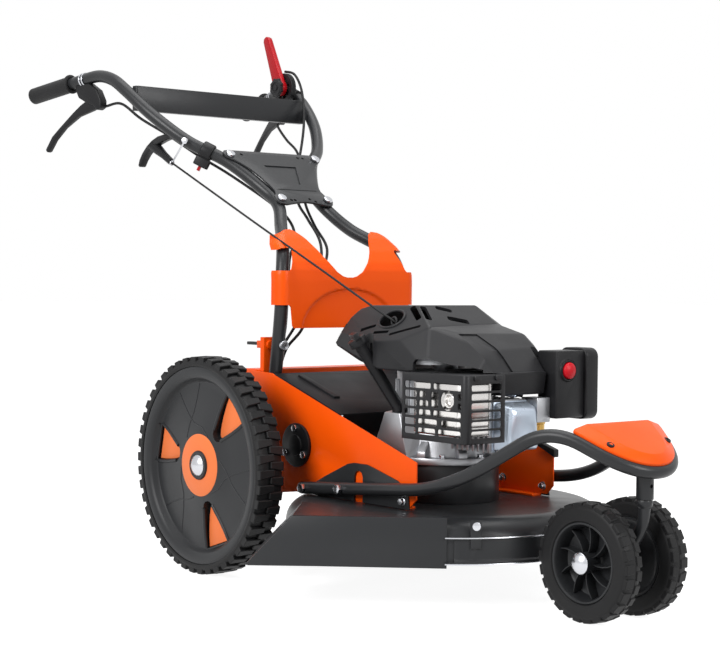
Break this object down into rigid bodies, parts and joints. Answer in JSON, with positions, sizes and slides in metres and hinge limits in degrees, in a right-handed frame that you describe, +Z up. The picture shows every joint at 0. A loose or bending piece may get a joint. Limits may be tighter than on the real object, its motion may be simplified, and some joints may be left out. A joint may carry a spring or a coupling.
{
  "type": "walk-behind rough-cut mower",
  "caption": "Self-propelled rough-cut mower with a round steel deck and side chute, upright-shaft engine, driven rear wheels, a twin-wheel swivel caster and a waisted tube handlebar.",
  "frame": {"origin": "on the ground, under the middle of the part's outline in plan", "axes": "+X forward towards the caster, +Y to the operator's left, +Z up"},
  "size_m": [1.5115, 0.743, 1.0771],
  "materials": {
    "orange_paint": "gloss",
    "dark_paint": "satin",
    "black_plastic": "satin",
    "grip_rubber": "matte",
    "rope": "woven",
    "cast_alloy": "as cast",
    "cover_silver": "satin",
    "bright_steel": "plated",
    "tyre_rubber": "matte",
    "rim_plastic": "satin",
    "red_plastic": "gloss",
    "red_rubber": "satin"
  },
  "bodies": {
    "chassis": {"side_plates": "orange_paint", "rear_crossmember": "orange_paint", "top_cover": "black_plastic", "deck_shell": "dark_paint", "discharge_chute": "dark_paint", "deck_skirt": "dark_paint", "frame_brackets": "dark_paint", "front_frame": "dark_paint", "nose_plate": "orange_paint", "head_tube": "dark_paint", "bearing_flanges": "black_plastic", "gearbox": "cast_alloy", "drive_belt": "grip_rubber", "drive_chain": "bright_steel", "engine_stand": "dark_paint", "crankcase": "cast_alloy", "rocker_cover": "cover_silver", "muffler": "bright_steel", "muffler_guard": "dark_paint", "engine_cowl": "black_plastic", "fuel_tank": "black_plastic", "oil_filler": "black_plastic", "carburettor": "cast_alloy", "air_cleaner": "black_plastic", "spark_plug": "bright_steel", "handle_tubes": "dark_paint", "crossbar": "dark_paint", "gusset_plate": "dark_paint", "leg_shield": "orange_paint", "grips": "grip_rubber", "control_brackets": "black_plastic", "control_cables": "grip_rubber", "zinc_fittings": "bright_steel", "starter_rope": "rope"},
    "axle": {"rear_axle": "bright_steel"},
    "layshaft": {"layshaft": "bright_steel"},
    "wheel_right": {"tyre_right": "tyre_rubber", "rim_right": "rim_plastic"},
    "wheel_left": {"tyre_left": "tyre_rubber", "rim_left": "rim_plastic"},
    "caster": {"caster_fork": "dark_paint", "caster_axle": "bright_steel"},
    "caster_wheel_right": {"caster_tyre_right": "tyre_rubber", "caster_rim_right": "rim_plastic"},
    "caster_wheel_left": {"caster_tyre_left": "tyre_rubber", "caster_rim_left": "rim_plastic"},
    "crank": {"crankshaft": "bright_steel", "blade": "bright_steel", "flywheel": "cast_alloy"},
    "box_pulley": {"box_pulley": "bright_steel"},
    "drive_lever": {"drive_lever": "black_plastic"},
    "brake_lever": {"brake_lever": "black_plastic"},
    "blade_lever": {"blade_lever": "red_plastic"},
    "clutch_arm": {"clutch_arm": "bright_steel"},
    "throttle_lever": {"throttle_lever": "red_plastic"},
    "starter_handle": {"starter_handle": "black_plastic"},
    "starter_reel": {"starter_reel": "black_plastic"},
    "primer_button": {"primer_button": "red_rubber"},
    "clamp_right": {"clamp_lever_right": "black_plastic"},
    "clamp_left": {"clamp_lever_left": "black_plastic"}
  },
  "joints": [
    {"name": "axle_spin", "type": "hinge", "parent": "chassis", "child": "axle", "pos_m": [-0.08825, 0.05923, 0.2], "axis": [0, 1, 0], "continuous": true},
    {"name": "layshaft_spin", "type": "hinge", "parent": "chassis", "child": "layshaft", "pos_m": [0.03475, 0.05923, 0.24], "axis": [0, 1, 0], "continuous": true},
    {"name": "wheel_right_spin", "type": "hinge", "parent": "axle", "child": "wheel_right", "pos_m": [-0.08825, -0.21977, 0.2], "axis": [0, 1, 0], "continuous": true},
    {"name": "wheel_left_spin", "type": "hinge", "parent": "axle", "child": "wheel_left", "pos_m": [-0.08825, 0.33823, 0.2], "axis": [0, 1, 0], "continuous": true},
    {"name": "caster_swivel", "type": "hinge", "parent": "chassis", "child": "caster", "pos_m": [0.71875, 0.05923, 0.097], "axis": [0, 0, 1], "continuous": true},
    {"name": "caster_wheel_right_spin", "type": "hinge", "parent": "caster", "child": "caster_wheel_right", "pos_m": [0.65275, 0.00723, 0.097], "axis": [0, 1, 0], "continuous": true},
    {"name": "caster_wheel_left_spin", "type": "hinge", "parent": "caster", "child": "caster_wheel_left", "pos_m": [0.65275, 0.11123, 0.097], "axis": [0, 1, 0], "continuous": true},
    {"name": "crank_spin", "type": "hinge", "parent": "chassis", "child": "crank", "pos_m": [0.24975, 0.05923, 0.222], "axis": [0, 0, 1], "continuous": true},
    {"name": "box_pulley_spin", "type": "hinge", "parent": "chassis", "child": "box_pulley", "pos_m": [0.05375, 0.05923, 0.171], "axis": [0, 0, 1], "continuous": true},
    {"name": "drive_lever_squeeze", "type": "hinge", "parent": "chassis", "child": "drive_lever", "pos_m": [-0.60732, -0.18479, 0.91102], "axis": [-0.2229, 0.9748, 0], "range_deg": [0, 40], "stiffness_Nm_per_rad": 0.6, "springref_deg": -17.19},
    {"name": "brake_lever_squeeze", "type": "hinge", "parent": "chassis", "child": "brake_lever", "pos_m": [-0.60732, 0.30324, 0.91102], "axis": [0.2229, 0.9748, 0], "range_deg": [0, 40], "stiffness_Nm_per_rad": 0.6, "springref_deg": -17.19},
    {"name": "blade_lever_swing", "type": "hinge", "parent": "chassis", "child": "blade_lever", "pos_m": [-0.50311, 0.26293, 0.96013], "axis": [0, 1, 0], "range_deg": [0, 60]},
    {"name": "clutch_arm_swing", "type": "hinge", "parent": "chassis", "child": "clutch_arm", "pos_m": [0.02475, 0.03523, 0.275], "axis": [0, 0, 1], "range_deg": [0, 24]},
    {"name": "throttle_swing", "type": "hinge", "parent": "chassis", "child": "throttle_lever", "pos_m": [-0.3163, -0.08385, 0.76995], "axis": [0.7282, -0.6853, 0], "range_deg": [-20, 20]},
    {"name": "starter_pull", "type": "slide", "parent": "chassis", "child": "starter_handle", "axis": [-0.9086, -0.0669, 0.4124], "range_m": [0, 0.45], "stiffness_N_per_m": 12, "springref_m": -0.5},
    {"name": "starter_reel_spin", "type": "hinge", "parent": "chassis", "child": "starter_reel", "pos_m": [0.24975, 0.05923, 0.462], "axis": [0, 0, 1], "continuous": true},
    {"name": "primer_press", "type": "slide", "parent": "chassis", "child": "primer_button", "axis": [-1, 0, 0], "range_m": [0, 0.004], "stiffness_N_per_m": 600, "springref_m": -0.002},
    {"name": "clamp_right_open", "type": "hinge", "parent": "chassis", "child": "clamp_right", "pos_m": [-0.09725, -0.08877, 0.419], "axis": [0, 1, 0], "range_deg": [0, 90]},
    {"name": "clamp_left_open", "type": "hinge", "parent": "chassis", "child": "clamp_left", "pos_m": [-0.09725, 0.20723, 0.419], "axis": [0, 1, 0], "range_deg": [0, 90]}
  ],
  "couplings": [
    {"joint": "layshaft_spin", "follows": "axle_spin", "ratio": 1.68},
    {"joint": "box_pulley_spin", "follows": "crank_spin", "ratio": 0.66667},
    {"joint": "clutch_arm_swing", "follows": "drive_lever_squeeze", "ratio": 0.6},
    {"joint": "starter_reel_spin", "follows": "starter_pull", "rad_per_m": -32.258}
  ]
}
